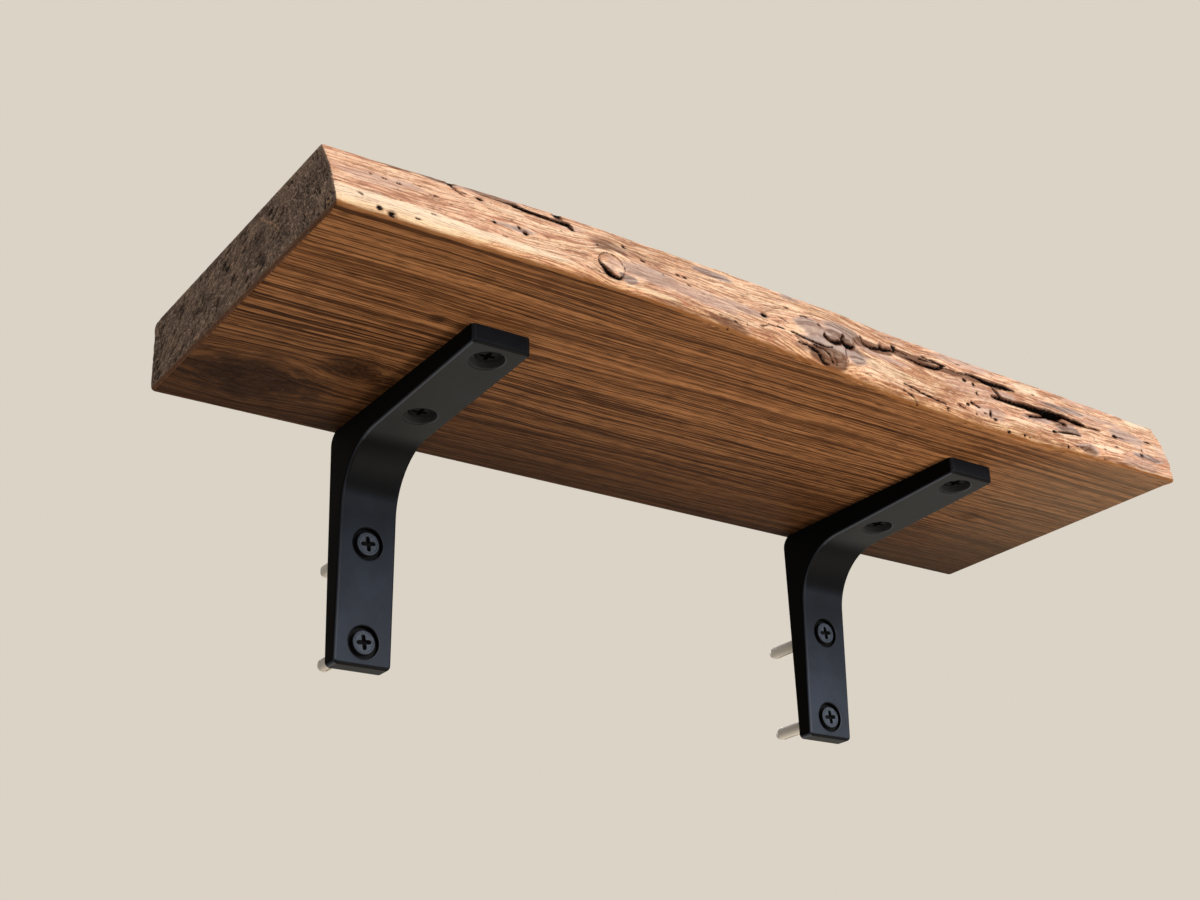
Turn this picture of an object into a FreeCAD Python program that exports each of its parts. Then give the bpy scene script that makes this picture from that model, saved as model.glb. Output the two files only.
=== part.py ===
import FreeCAD, Part
import math
import os

from FreeCAD import Rotation, Vector

# Live edge wall shelf: a slab with one natural edge, screwed up through two curved steel brackets,
# which are screwed to the wall through plugs.
# Millimetres. +X runs along the wall to the right as seen from the room, +Y goes into the wall, +Z is up.
# The origin is on the wall plane, at the centre of the four wall fixings.

# Slab
slab_length = 600.0
slab_thickness = 41.5
slab_arris = 2.2  # worn round-over of the edges at the ends and front
slab_back_round = 4.0  # round-over of the two long edges against the wall
left_overhang = 125.5  # left bracket's centre to the slab's left end
blank_depth = 260.0  # board that the natural edge is cut from

# Natural front edge as (x, depth from the wall), left to right, drawn past both ends
bottom_line = [
    (-330, 222.2), (-250, 222.0), (-180, 221.6), (-110, 220.2), (-50, 214.0), (0, 208.2), (40, 204.2),
    (72, 199.2), (110, 198.0), (170, 196.6), (215, 198.4), (262, 200.4), (345, 200.6),
]
top_line = [
    (-330, 203.4), (-256, 205.0), (-210, 207.4), (-150, 209.0), (-90, 207.6), (-20, 205.2), (40, 202.0),
    (90, 199.0), (150, 197.0), (215, 194.6), (262, 192.2), (345, 189.4),
]
belly = 2.6  # how far the edge swells beyond the straight line between its two lines
knot_x = 8.0  # the swollen knot near the middle
knot_height = 18.0
knot_spread = 34.0
knot_swell = 2.4
sample_step = 24.0  # spacing along X of the points that the natural edge is fitted through
sample_heights = (-0.15, 0.1, 0.35, 0.6, 0.85, 1.15)  # their heights, as shares of the thickness

# Weathered openings in the natural edge: distance of each one's bottom from the wall, and its outline
# as (x, height above the underside)
openings = {
    "long fissure": (190.0, [
        (150, 21.8), (172, 23.0), (194, 24.6), (212, 24.2), (228, 21.6), (244, 21.6),
        (227, 20.6), (212, 21.4), (203, 19.0), (190, 18.4), (188, 20.4), (171, 20.8),
    ]),
    "upper crack": (200.0, [
        (-206, 38.2), (-190, 37.4), (-176, 35.9), (-160, 35.6), (-160.6, 32.2), (-163, 34.0), (-190, 35.6),
    ]),
    "knot hollow": (194.0, [
        (3.5, 21), (9, 18.6), (17, 19), (20, 21.6), (28, 20), (27.6, 18.2), (18, 17.2), (6, 16.2),
    ]),
    "middle check": (195.0, [
        (70, 28.6), (84, 29.4), (103, 28.4), (103, 27.2), (84, 27.0),
    ]),
}
opening_clear = 4.0  # how far in front of the edge the tapering cuts begin
opening_front = (1.015, 1.25)  # shares of the outline's length and height where a cut begins
opening_bottom = (0.973, 0.55)  # and at its bottom

# Brackets
bracket_spacing = 336.0
bracket_width = 35.0
wall_leg = 137.5
shelf_leg = 157.0
tip_thickness = 10.2
root_thickness = 14.6
inner_radius = 37.0
outer_corner_radius = 8.0
tip_corner_radius = 3.0
edge_round = 2.0

# Fixings, measured from the inside corner where wall and slab meet
wall_screw_drops = {"upper": 68.0, "lower": 124.0}
shelf_screw_reaches = {"rear": 72.0, "front": 142.0}
counterbore_radius = 9.2
counterbore_mouth_round = 0.8
wall_head_rise = 0.5  # how far a wall screw's head stands out of the leg's face
shelf_head_sink = 2.6  # how far a shelf screw's head lies below it
clearance_radius = 2.9
cutter_length = 40.0  # long enough to pass right out of a leg on either side

# Screws
head_radius = 6.8
head_height = 2.7
head_under_round = 0.3
head_edge = 0.7  # round-over of the head's rim, cut as two flats
head_ring_radius = 5.5  # fine turned groove in the head's face
head_ring_half = 0.25
head_ring_depth = 0.18
recess_span = 9.6
recess_width = 2.6
recess_depth = 2.0
recess_bottom_span = 0.64  # shares of the span and width that are left at the recess's bottom
recess_bottom_width = 0.8
recess_turn = 8.0  # degrees that the crosses stand off upright
core_radius = 1.75
thread_radius = 2.5
thread_pitch = 2.2
thread_root = 0.35  # how far the thread's section reaches into the core
thread_root_half = 0.62
thread_crest_half = 0.09
thread_fade = 1.5  # length over which the thread runs out below the shank
wall_screw_length = 45.0
wall_shank = 10.0
shelf_screw_length = 32.0
shelf_shank = 7.0
point_length = 6.5
point_radius = 0.2

# Wall plugs and the holes for the screws
plug_radius = 4.0
plug_length = 40.0
plug_nose = 3.0
plug_nose_radius = 2.6
plug_bore_radius = 1.9
plug_bore_depth = 38.5
plug_lead_in = 2.0
plug_neck = 9.0
plug_slot_width = 1.2
plug_slot_end = 35.0
pilot_radius = 1.8
pilot_spare = 2.0

slab_left = -bracket_spacing / 2 - left_overhang
underside = sum(wall_screw_drops.values()) / 2
bracket_centres = {"left": -bracket_spacing / 2, "right": bracket_spacing / 2}
taper = root_thickness - tip_thickness
wall_slope = taper / (wall_leg - root_thickness - inner_radius)
shelf_slope = taper / (shelf_leg - root_thickness - inner_radius)
origin = Vector(0, 0, 0)
into_wall = Vector(0, 1, 0)
into_room = Vector(0, -1, 0)
up = Vector(0, 0, 1)
down = Vector(0, 0, -1)
hair = 0.01  # closeness at which two lengths count as equal
slack = 0.2  # allowance when an edge is looked for by where it lies


def depth_along(line):
    """Smooth curve through a drawn line, as a function from x to depth."""
    curve = Part.BSplineCurve()
    curve.interpolate([Vector(x, depth, 0) for x, depth in line])

    def depth_at(x):
        low, high = curve.FirstParameter, curve.LastParameter
        for _ in range(50):
            middle = (low + high) / 2
            if curve.value(middle).x < x:
                low = middle
            else:
                high = middle
        return curve.value(low).y

    return depth_at


def natural_edge():
    """The front face as one smooth sheet, a little larger than the slab all round."""
    bottom_depth = depth_along(bottom_line)
    top_depth = depth_along(top_line)
    columns = []
    count = round((slab_length + 2 * sample_step) / sample_step)
    for i in range(count + 1):
        x = slab_left - sample_step + i * sample_step
        column = []
        for share in sample_heights:
            height = share * slab_thickness
            depth = bottom_depth(x) * (1 - share) + top_depth(x) * share
            depth += belly * 4 * share * (1 - share)
            away = ((x - knot_x) / knot_spread) ** 2 + ((height - knot_height) / knot_height) ** 2
            depth += knot_swell * math.exp(-away)
            column.append(Vector(x, -depth, underside + height))
        columns.append(column)
    sheet = Part.BSplineSurface()
    sheet.interpolate(columns)
    return sheet.toShape()


def opening_cut(outline, bottom):
    """Tapering cut for a weathered opening, from in front of the natural edge to its bottom."""
    middle_x = sum(x for x, _ in outline) / len(outline)
    middle_z = sum(z for _, z in outline) / len(outline)
    front = max(depth for _, depth in bottom_line) + opening_clear
    sections = []
    for depth, (long_share, high_share) in ((front, opening_front), (bottom, opening_bottom)):
        points = []
        for x, z in outline:
            cut_x = middle_x + (x - middle_x) * long_share
            cut_z = middle_z + (z - middle_z) * high_share
            points.append(Vector(cut_x, -depth, underside + cut_z))
        sections.append(Part.makePolygon(points + [points[0]]))
    return Part.makeLoft(sections, True, True)


def live_edge_slab():
    corner = Vector(slab_left, -blank_depth, underside)
    blank = Part.makeBox(slab_length, blank_depth, slab_thickness, corner)
    slab = blank.cut(natural_edge().extrude(into_room * blank_depth))

    def is_back_edge(edge):
        on_wall = all(abs(vertex.Y) < hair for vertex in edge.Vertexes)
        return on_wall and abs(edge.BoundBox.XLength - slab_length) < hair

    slab = slab.makeFillet(slab_back_round, [edge for edge in slab.Edges if is_back_edge(edge)])

    def is_worn_edge(edge):
        box = edge.BoundBox
        clear_of_wall = box.YMax < -slack
        runs_to_wall = box.YLength > slab_thickness
        return clear_of_wall or runs_to_wall

    slab = slab.makeFillet(slab_arris, [edge for edge in slab.Edges if is_worn_edge(edge)])
    for bottom, outline in openings.values():
        slab = slab.cut(opening_cut(outline, bottom))
    for x in bracket_centres.values():
        for reach in shelf_screw_reaches.values():
            depth = shelf_screw_length - shelf_seat(reach) + pilot_spare
            slab = slab.cut(Part.makeCylinder(pilot_radius, depth, Vector(x, -reach, underside), up))
    return slab


def bracket_profile():
    """Side view of a bracket at X = 0: two tapering legs joined by an arc inside and a round outside."""
    tip_y = -shelf_leg
    tip_z = underside - wall_leg
    # directions of the two inner faces, from the tips to the corner
    shelf_dir = Vector(0, 1, -shelf_slope).normalize()
    wall_dir = Vector(0, -wall_slope, 1).normalize()
    shelf_start = Vector(0, tip_y, underside - tip_thickness)
    wall_start = Vector(0, -tip_thickness, tip_z)
    # where the two inner faces would meet
    gap = wall_start - shelf_start
    along = gap.cross(wall_dir).x / shelf_dir.cross(wall_dir).x
    meet = shelf_start + shelf_dir * along
    half = math.acos(shelf_dir.dot(wall_dir)) / 2
    back_off = inner_radius / math.tan(half)
    on_shelf = meet - shelf_dir * back_off
    on_wall = meet - wall_dir * back_off
    inward = ((on_shelf + on_wall) * 0.5 - meet).normalize()
    centre = meet + inward * (inner_radius / math.sin(half))
    on_arc = centre - inward * inner_radius
    corner_top = Vector(0, -outer_corner_radius, underside)
    corner_wall = Vector(0, 0, underside - outer_corner_radius)
    corner_in = outer_corner_radius * (1 - math.sqrt(0.5))
    on_corner = Vector(0, -corner_in, underside - corner_in)
    edges = [
        Part.LineSegment(Vector(0, 0, tip_z), wall_start).toShape(),
        Part.LineSegment(wall_start, on_wall).toShape(),
        Part.Arc(on_wall, on_arc, on_shelf).toShape(),
        Part.LineSegment(on_shelf, shelf_start).toShape(),
        Part.LineSegment(shelf_start, Vector(0, tip_y, underside)).toShape(),
        Part.LineSegment(Vector(0, tip_y, underside), corner_top).toShape(),
        Part.Arc(corner_top, on_corner, corner_wall).toShape(),
        Part.LineSegment(corner_wall, Vector(0, 0, tip_z)).toShape(),
    ]
    return Part.Face(Part.Wire(edges))


def wall_seat(drop):
    """Metal left under a wall screw's head, a given distance below the slab."""
    return tip_thickness + (wall_leg - drop) * wall_slope + wall_head_rise - head_height


def shelf_seat(reach):
    """Metal left under a shelf screw's head, a given distance from the wall."""
    return tip_thickness + (shelf_leg - reach) * shelf_slope - shelf_head_sink - head_height


def counterbored(body, seat, outward):
    """Cut a screw hole whose seat, where the screw's head bears, is at a point, open along outward."""
    body = body.cut(Part.makeCylinder(counterbore_radius, cutter_length, seat, outward))
    body = body.cut(Part.makeCylinder(clearance_radius, cutter_length, seat, outward * -1))

    def is_mouth(edge):
        from_seat = edge.BoundBox.Center - seat
        across = from_seat.cross(outward).Length
        return edge.Closed and across < 1.0 and from_seat.dot(outward) > 1.0

    return body.makeFillet(counterbore_mouth_round, [edge for edge in body.Edges if is_mouth(edge)])


def bracket():
    """One bracket centred on X = 0."""
    body = bracket_profile().extrude(Vector(bracket_width, 0, 0))
    body.translate(Vector(-bracket_width / 2, 0, 0))

    def is_tip_corner(edge):
        box = edge.BoundBox
        at_shelf_tip = box.YMax < -shelf_leg + hair
        at_wall_tip = box.ZMax < underside - wall_leg + hair
        return (at_shelf_tip or at_wall_tip) and box.XLength < hair

    body = body.makeFillet(tip_corner_radius, [edge for edge in body.Edges if is_tip_corner(edge)])

    def is_on_room_side(edge):
        box = edge.BoundBox
        middle = edge.valueAt((edge.FirstParameter + edge.LastParameter) / 2)
        # at the tips only the arris of the leg's room face, not the tip's other edges
        if middle.y < -shelf_leg + tip_corner_radius:
            return middle.z < underside - tip_thickness + slack
        if middle.z < underside - wall_leg + tip_corner_radius:
            return middle.y < -tip_thickness + slack
        on_outer_round = middle.y > -outer_corner_radius and middle.z > underside - outer_corner_radius
        on_seating_face = box.YMin > -hair or box.ZMin > underside - hair
        return box.XLength < hair and not on_seating_face and not on_outer_round

    body = body.makeFillet(edge_round, [edge for edge in body.Edges if is_on_room_side(edge)])
    for drop in wall_screw_drops.values():
        body = counterbored(body, Vector(0, -wall_seat(drop), underside - drop), into_room)
    for reach in shelf_screw_reaches.values():
        body = counterbored(body, Vector(0, -reach, underside - shelf_seat(reach)), down)
    return body


def turned(points):
    """Solid of revolution about Z from (radius, height) points, listed upwards on the outside."""
    outline = [Vector(radius, 0, height) for radius, height in points]
    face = Part.Face(Part.makePolygon(outline + [outline[0]]))
    return face.revolve(origin, up, 360)


def round_ended_bar(height, span, width):
    """Outline of one blade of the driver recess at a height."""
    straight = span / 2 - width / 2
    right_near, right_far = Vector(straight, -width / 2, height), Vector(straight, width / 2, height)
    left_near, left_far = Vector(-straight, -width / 2, height), Vector(-straight, width / 2, height)
    return Part.Wire([
        Part.Arc(right_near, Vector(span / 2, 0, height), right_far).toShape(),
        Part.LineSegment(right_far, left_far).toShape(),
        Part.Arc(left_far, Vector(-span / 2, 0, height), left_near).toShape(),
        Part.LineSegment(left_near, right_near).toShape(),
    ])


def cross_recess():
    """Cross-shaped driver recess, cut down from the top of a head: two tapering blades."""
    mouth = round_ended_bar(head_height + slack, recess_span, recess_width)
    bottom = round_ended_bar(
        head_height - recess_depth, recess_span * recess_bottom_span, recess_width * recess_bottom_width)
    blade = Part.makeLoft([mouth, bottom], True, True)
    crossing = blade.copy()
    crossing.rotate(origin, up, 90)
    return blade.fuse(crossing).removeSplitter()


def threaded_shaft(length, shank):
    """Shank, thread and point below Z = 0. The thread is swept past both ends, then trimmed."""
    helix = Part.makeHelix(thread_pitch, length - shank + thread_pitch, core_radius)
    start = -length - thread_pitch / 2
    helix.translate(Vector(0, 0, start))
    root_radius = core_radius - thread_root
    ridge = [
        Vector(root_radius, 0, start - thread_root_half),
        Vector(thread_radius, 0, start - thread_crest_half),
        Vector(thread_radius, 0, start + thread_crest_half),
        Vector(root_radius, 0, start + thread_root_half),
    ]
    thread = Part.Wire(helix).makePipeShell([Part.makePolygon(ridge + [ridge[0]])], True, True)
    core = Part.makeCylinder(core_radius, length + 2 * thread_pitch, up * slack, down)
    outside = thread_radius + slack
    trim = turned([
        (0, -length),
        (point_radius, -length),
        (outside, -length + point_length),
        (outside, -shank - thread_fade),
        (core_radius, -shank),
        (core_radius + slack, slack),
        (0, slack),
    ])
    return core.fuse(thread).common(trim)


def screw(length, shank):
    """Screw with its head bearing at Z = 0 and its point at Z = -length."""
    flat = head_edge * (1 - math.sqrt(0.5))
    head = turned([
        (0, 0),
        (head_radius - head_under_round, 0),
        (head_radius, head_under_round),
        (head_radius, head_height - head_edge),
        (head_radius - flat, head_height - flat),
        (head_radius - head_edge, head_height),
        (head_ring_radius + head_ring_half, head_height),
        (head_ring_radius, head_height - head_ring_depth),
        (head_ring_radius - head_ring_half, head_height),
        (0, head_height),
    ])
    return threaded_shaft(length, shank).fuse(head).cut(cross_recess())


def wall_plug():
    """Nylon plug along +Z, its mouth at Z = 0: plain neck, split body and tapered nose."""
    body = turned([
        (0, 0),
        (plug_radius, 0),
        (plug_radius, plug_length - plug_nose),
        (plug_nose_radius, plug_length),
        (0, plug_length),
    ])
    body = body.cut(Part.makeCylinder(plug_bore_radius, plug_bore_depth, origin, up))
    body = body.cut(Part.makeCone(thread_radius, plug_bore_radius, plug_lead_in, origin, up))
    # the slot stands upright in the wall
    slot_corner = Vector(-plug_slot_width / 2, -plug_radius, plug_neck)
    return body.cut(Part.makeBox(plug_slot_width, 2 * plug_radius, plug_slot_end - plug_neck, slot_corner))


def laid_along(shape, towards, place, turn=0.0):
    """Copy of a shape made along Z, turned about its axis, with +Z laid along towards, and moved."""
    placed = shape.copy()
    placed.rotate(origin, up, turn)
    swing = Rotation(up, towards)
    placed.rotate(origin, swing.Axis, math.degrees(swing.Angle))
    placed.translate(place)
    return placed


def all_parts():
    parts = {"live_edge_slab": live_edge_slab()}
    one_bracket = bracket()
    wall_screw = screw(wall_screw_length, wall_shank)
    shelf_screw = screw(shelf_screw_length, shelf_shank)
    plug = wall_plug()
    for side, x in bracket_centres.items():
        body = one_bracket.copy()
        body.translate(Vector(x, 0, 0))
        parts[f"{side}_bracket"] = body
        for level, drop in wall_screw_drops.items():
            seat = Vector(x, -wall_seat(drop), underside - drop)
            parts[f"{side}_wall_screw_{level}"] = laid_along(wall_screw, into_room, seat, recess_turn)
            parts[f"{side}_wall_plug_{level}"] = laid_along(plug, into_wall, Vector(x, 0, underside - drop))
        for place, reach in shelf_screw_reaches.items():
            seat = Vector(x, -reach, underside - shelf_seat(reach))
            parts[f"{side}_shelf_screw_{place}"] = laid_along(shelf_screw, down, seat, recess_turn)
    return parts


def main():
    os.makedirs("parts", exist_ok=True)
    for name, shape in all_parts().items():
        shape.exportStep(f"parts/{name}.step")
        box = shape.optimalBoundingBox()
        corners = [round(v, 2) for v in (box.XMin, box.YMin, box.ZMin, box.XMax, box.YMax, box.ZMax)]
        print(name, shape.isValid(), len(shape.Solids), round(shape.Volume, 1), corners)


main()
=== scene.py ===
import math

import bmesh
import bpy
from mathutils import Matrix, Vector, noise


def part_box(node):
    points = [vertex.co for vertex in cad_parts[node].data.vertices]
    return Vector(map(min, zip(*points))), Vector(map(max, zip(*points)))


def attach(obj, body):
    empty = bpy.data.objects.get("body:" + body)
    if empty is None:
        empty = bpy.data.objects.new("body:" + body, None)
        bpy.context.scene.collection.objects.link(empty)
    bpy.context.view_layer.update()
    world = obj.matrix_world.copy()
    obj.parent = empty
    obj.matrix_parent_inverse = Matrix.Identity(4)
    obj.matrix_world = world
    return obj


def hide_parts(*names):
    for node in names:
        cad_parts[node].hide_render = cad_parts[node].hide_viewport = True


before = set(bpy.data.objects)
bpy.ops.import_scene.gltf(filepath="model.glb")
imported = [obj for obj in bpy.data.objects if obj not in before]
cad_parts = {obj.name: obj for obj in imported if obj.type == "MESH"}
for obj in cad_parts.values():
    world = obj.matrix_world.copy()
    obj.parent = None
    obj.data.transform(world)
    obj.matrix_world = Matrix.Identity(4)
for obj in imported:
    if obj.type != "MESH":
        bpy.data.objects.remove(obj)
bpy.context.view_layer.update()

print("frame loaded:", len(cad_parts), "nodes")

mm = 0.001
hair = 0.01  # allowance, in millimetres, when points are looked for by where they lie


def rgb(red, green, blue):  # screen colour, 0 to 255, as the linear colour a shader wants
    linear = []
    for part in (red, green, blue):
        share = part / 255
        linear.append(share / 12.92 if share <= 0.04045 else ((share + 0.055) / 1.055) ** 2.4)
    return (*linear, 1.0)


# Camera, floor, world and lamps

cameraView = {
    "place": (-0.578299, -0.811894, -0.314999),
    "turn": (113.95654, 2.10885, -34.62192),  # degrees
    "lens": 51.56,
}
studio = {
    "backdrop": rgb(219, 211, 198),
    "ambient": rgb(255, 250, 244),
    "ambientStrength": 0.18,
    "floor": rgb(222, 216, 206),
    "floorLight": rgb(228, 222, 212),
    "floorCloud": (400, 400, 400),  # millimetres
    "floorHeight": -1.7,
    "floorGlow": 0.6,  # share of the backdrop's colour that is seen on the floor
    "floorSize": 14.0,
}
lamps = {  # place, point aimed at, size in metres, power in watts, colour
    "keyLamp": ((0.35, -2.2, 1.5), (0.0, -0.12, 0.05), 0.8, 37.0, rgb(255, 247, 236)),
    "frontLamp": ((1.0, -2.1, 0.42), (0.0, -0.1, 0.04), 1.2, 24.0, rgb(243, 246, 255)),
    "underLamp": ((0.6, -0.6, -1.15), (0.0, -0.1, 0.05), 0.6, 8.8, rgb(255, 244, 230)),
    "sideLamp": ((-1.25, -0.55, 1.6), (-0.1, -0.1, 0.1), 0.8, 13.0, rgb(255, 252, 248)),
    "backLamp": ((0.7, 2.0, 1.0), (0.0, 0.0, 0.05), 1.2, 24.0, rgb(250, 250, 255)),
}


def setCamera():
    camera = bpy.data.objects.new("camera", bpy.data.cameras.new("camera"))
    bpy.context.collection.objects.link(camera)
    camera.location = cameraView["place"]
    camera.rotation_euler = [math.radians(angle) for angle in cameraView["turn"]]
    camera.data.lens = cameraView["lens"]
    camera.data.clip_start = 0.01
    bpy.context.scene.camera = camera


def hangLamps():
    for name, (place, aim, size, power, colour) in lamps.items():
        lamp = bpy.data.lights.new(name, "AREA")
        lamp.shape = "DISK"
        lamp.size = size
        lamp.energy = power
        lamp.color = colour[:3]
        holder = bpy.data.objects.new(name, lamp)
        bpy.context.collection.objects.link(holder)
        holder.location = place
        towards = Vector(aim) - Vector(place)
        holder.rotation_euler = towards.to_track_quat("-Z", "Y").to_euler()
        holder.visible_camera = False


class Wire:  # one socket, so that masks and heights can be written as sums
    def __init__(self, tree, socket):
        self.tree = tree
        self.socket = socket

    def node(self, kind, settings, inputs, output=0):
        new = self.tree.nodes.new(kind)
        for name, value in settings.items():
            if name == "stops":
                layStops(new.color_ramp, value)
            else:
                setattr(new, name, value)
        for name, value in inputs.items():
            if isinstance(value, Wire):
                self.tree.links.new(value.socket, new.inputs[name])
            else:
                new.inputs[name].default_value = value
        return Wire(self.tree, new.outputs[output])

    def math(self, operation, *values):
        inputs = dict(enumerate(values))
        return self.node("ShaderNodeMath", {"operation": operation}, inputs)

    def __add__(self, other):
        return self.math("ADD", self, other)

    def __radd__(self, other):
        return self.math("ADD", other, self)

    def __sub__(self, other):
        return self.math("SUBTRACT", self, other)

    def __rsub__(self, other):
        return self.math("SUBTRACT", other, self)

    def __mul__(self, other):
        return self.math("MULTIPLY", self, other)

    def __rmul__(self, other):
        return self.math("MULTIPLY", other, self)

    def __truediv__(self, other):
        return self.math("DIVIDE", self, other)

    def __abs__(self):
        return self.math("ABSOLUTE", self)


def layStops(ramp, stops):
    while len(ramp.elements) < len(stops):
        ramp.elements.new(0.5)
    for element, (place, colour) in zip(ramp.elements, stops):
        element.position = place
        element.color = colour


def largest(first, *others):
    for other in others:
        first = first.math("MAXIMUM", first, other)
    return first


def fading(a):  # e to the power of minus a
    return a.math("EXPONENT", a * -1.0)


def rise(value, low, high):  # eased step from 0 at low to 1 at high
    inputs = {"Value": value, "From Min": low, "From Max": high}
    return value.node("ShaderNodeMapRange", {"interpolation_type": "SMOOTHSTEP"}, inputs)


def blend(factor, under, over, kind="MIX"):
    settings = {"data_type": "RGBA", "blend_type": kind}
    return factor.node("ShaderNodeMix", settings, {0: factor, 6: under, 7: over}, 2)


def painted(colour, coat, layers):  # layers as (share, name of a colour in the coat)
    for share, name, *kind in layers:
        colour = blend(share, colour, coat[name], *kind)
    return colour


def ramp(value, stops):
    return value.node("ShaderNodeValToRGB", {"stops": stops}, {"Fac": value})


def joined(x, y, z):
    return x.node("ShaderNodeCombineXYZ", {}, {0: x, 1: y, 2: z})


def parted(vector):
    return [vector.node("ShaderNodeSeparateXYZ", {}, {0: vector}, i) for i in range(3)]


def stretched(vector, size):  # vector measured in units of size
    return vector.node("ShaderNodeVectorMath", {"operation": "DIVIDE"}, {0: vector, 1: size})


def speckle(at, size, detail=2.0, roughness=0.5):  # noise; size in millimetres along each axis
    inputs = {"Vector": stretched(at, size), "Scale": 1.0, "Detail": detail, "Roughness": roughness}
    return at.node("ShaderNodeTexNoise", {}, inputs)


def speckles(at, coat, *names):
    return [speckle(at, *coat[name]) for name in names]


def attribute(at, name):  # a number stored on the board's points
    return at.node("ShaderNodeAttribute", {"attribute_name": name}, {}, 2)


def newMaterial(name):  # material, its shader, and the place on the object in millimetres
    material = bpy.data.materials.new(name)
    material.use_nodes = True
    tree = material.node_tree
    shader = tree.nodes["Principled BSDF"]
    place = Wire(tree, tree.nodes.new("ShaderNodeTexCoord").outputs["Object"])
    return material, shader, stretched(place, (mm, mm, mm))


def finishShader(shader, colour, roughness, height, bump, gloss=0.5):  # height in millimetres
    tree = shader.id_data
    shader.inputs["Specular IOR Level"].default_value = gloss
    tree.links.new(colour.socket, shader.inputs["Base Color"])
    tree.links.new(roughness.socket, shader.inputs["Roughness"])
    inputs = {"Height": height, "Distance": mm, "Strength": bump}
    relief = height.node("ShaderNodeBump", {}, inputs)
    tree.links.new(relief.socket, shader.inputs["Normal"])


def seenDirectly(tree):  # 1 for what the camera sees, also in a mirror or through glass
    path = tree.nodes.new("ShaderNodeLightPath")
    kinds = ("Is Camera Ray", "Is Glossy Ray", "Is Transmission Ray")
    seen, mirrored, through = [Wire(tree, path.outputs[kind]) for kind in kinds]
    total = seen + mirrored + through
    return total.math("MINIMUM", total, 1.0)


def lightWorld():
    world = bpy.data.worlds.new("studioWorld")
    bpy.context.scene.world = world
    world.use_nodes = True
    tree = world.node_tree
    tree.nodes.clear()
    output = tree.nodes.new("ShaderNodeOutputWorld")
    shown = seenDirectly(tree)
    light = {"Color": studio["ambient"], "Strength": studio["ambientStrength"]}
    room = shown.node("ShaderNodeBackground", {}, light)
    wall = shown.node("ShaderNodeBackground", {}, {"Color": studio["backdrop"], "Strength": 1.0})
    both = shown.node("ShaderNodeMixShader", {}, {0: shown, 1: room, 2: wall})
    tree.links.new(both.socket, output.inputs["Surface"])


def layFloor():
    bm = bmesh.new()
    bmesh.ops.create_grid(bm, x_segments=1, y_segments=1, size=studio["floorSize"] / 2)
    bmesh.ops.translate(bm, vec=(0, 0, studio["floorHeight"]), verts=bm.verts)
    mesh = bpy.data.meshes.new("floor")
    bm.to_mesh(mesh)
    bm.free()
    floor = bpy.data.objects.new("floor", mesh)
    bpy.context.collection.objects.link(floor)
    material, shader, at = newMaterial("floorPaint")
    tone = speckle(at, studio["floorCloud"])
    colour = ramp(tone, [(0.3, studio["floor"]), (0.7, studio["floorLight"])])
    finishShader(shader, colour, tone * 0.1 + 0.75, tone, 0.1)
    tree = material.node_tree
    glow = tone.node("ShaderNodeEmission", {}, {"Color": studio["backdrop"], "Strength": 1.0})
    paint = Wire(tree, shader.outputs["BSDF"])
    share = seenDirectly(tree) * studio["floorGlow"]
    both = tone.node("ShaderNodeMixShader", {}, {0: share, 1: paint, 2: glow})
    tree.links.new(both.socket, tree.nodes["Material Output"].inputs["Surface"])
    mesh.materials.append(material)


setCamera()
lightWorld()
layFloor()
hangLamps()
bpy.context.scene.view_settings.view_transform = "Standard"
print("studio ready")


# Finishes of the steel and the plugs

steelCoat = {
    "colour": rgb(54, 60, 70),
    "sheen": rgb(62, 70, 83),
    "speck": rgb(80, 88, 100),
    # painted shade, tinted warm, on the faces turned downwards
    "under": rgb(46, 45, 38),
    # painted highlight along the arrises that face left
    "rim": rgb(104, 110, 120),
    # near black painted shade on the side faces, in the bend, on the shelf leg's end and on the wall leg's
    # top
    "side": rgb(4, 4, 5),
    # black painted shade inside the wall legs' screw holes
    "well": rgb(3, 3, 4),
    # painted light on the walls of the shelf legs' screw holes
    "shelfWell": rgb(76, 78, 79),
    "roughness": 0.42,
    "gloss": 0.08,
    "wells": (168.0, 9.3),  # the screws' holes: how far to either side, and radius
    "wallWells": 28.0,  # how far above and below the origin
    "shelfWells": (107.0, 35.0),  # the pair's middle, from the wall, and half its spacing
    # noises: size in millimetres along each axis, detail and roughness
    "grain": ((0.45, 0.45, 0.45), 3.0, 0.6),
    "pebble": ((1.4, 1.4, 1.4), 2.0),
    "cloud": ((24, 24, 24), 3.0),
    "tipStart": 154.0,  # distances from the wall between which painted shade darkens the shelf leg's end
    "tipEnd": 156.5,
    "shadedFrom": -25.0,  # heights between which painted shade darkens the wall leg towards the bend, below the shelf
    "shadedTo": 50.0,
    "legsMeet": 55.0,  # height that parts the wall legs' holes from the shelf legs'
}
wallScrewCoat = {
    "colour": rgb(64, 73, 86),
    "worn": rgb(92, 103, 118),
    # black painted shade in the head's cross recess
    "recess": rgb(3, 3, 4),
    "roughness": 0.4,
    "gloss": 0.25,
}
# the same black screws as on the wall legs, painted near black as the shade in their deep holes
shadedShelfScrewCoat = {
    "colour": rgb(5, 6, 7),
    "worn": rgb(26, 28, 31),
    # black painted shade in the head's cross recess
    "recess": rgb(2, 2, 3),
    "roughness": 0.45,
    "gloss": 0.1,
}
screwNoise = {
    "rub": ((2.2, 2.2, 2.2), 4.0, 0.6),
    "fine": ((0.3, 0.3, 0.3), 2.0),
    "recess": (0.22, 0.4),  # how deep under the head's face the recess's painted shade begins and is full
}
nylon = {
    "colour": rgb(242, 236, 226),
    "shade": rgb(232, 225, 213),
    "roughness": 0.5,
    "cloud": ((5, 12, 5), 2.0),
    "fine": ((0.5, 0.5, 0.5), 2.0),
}


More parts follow.
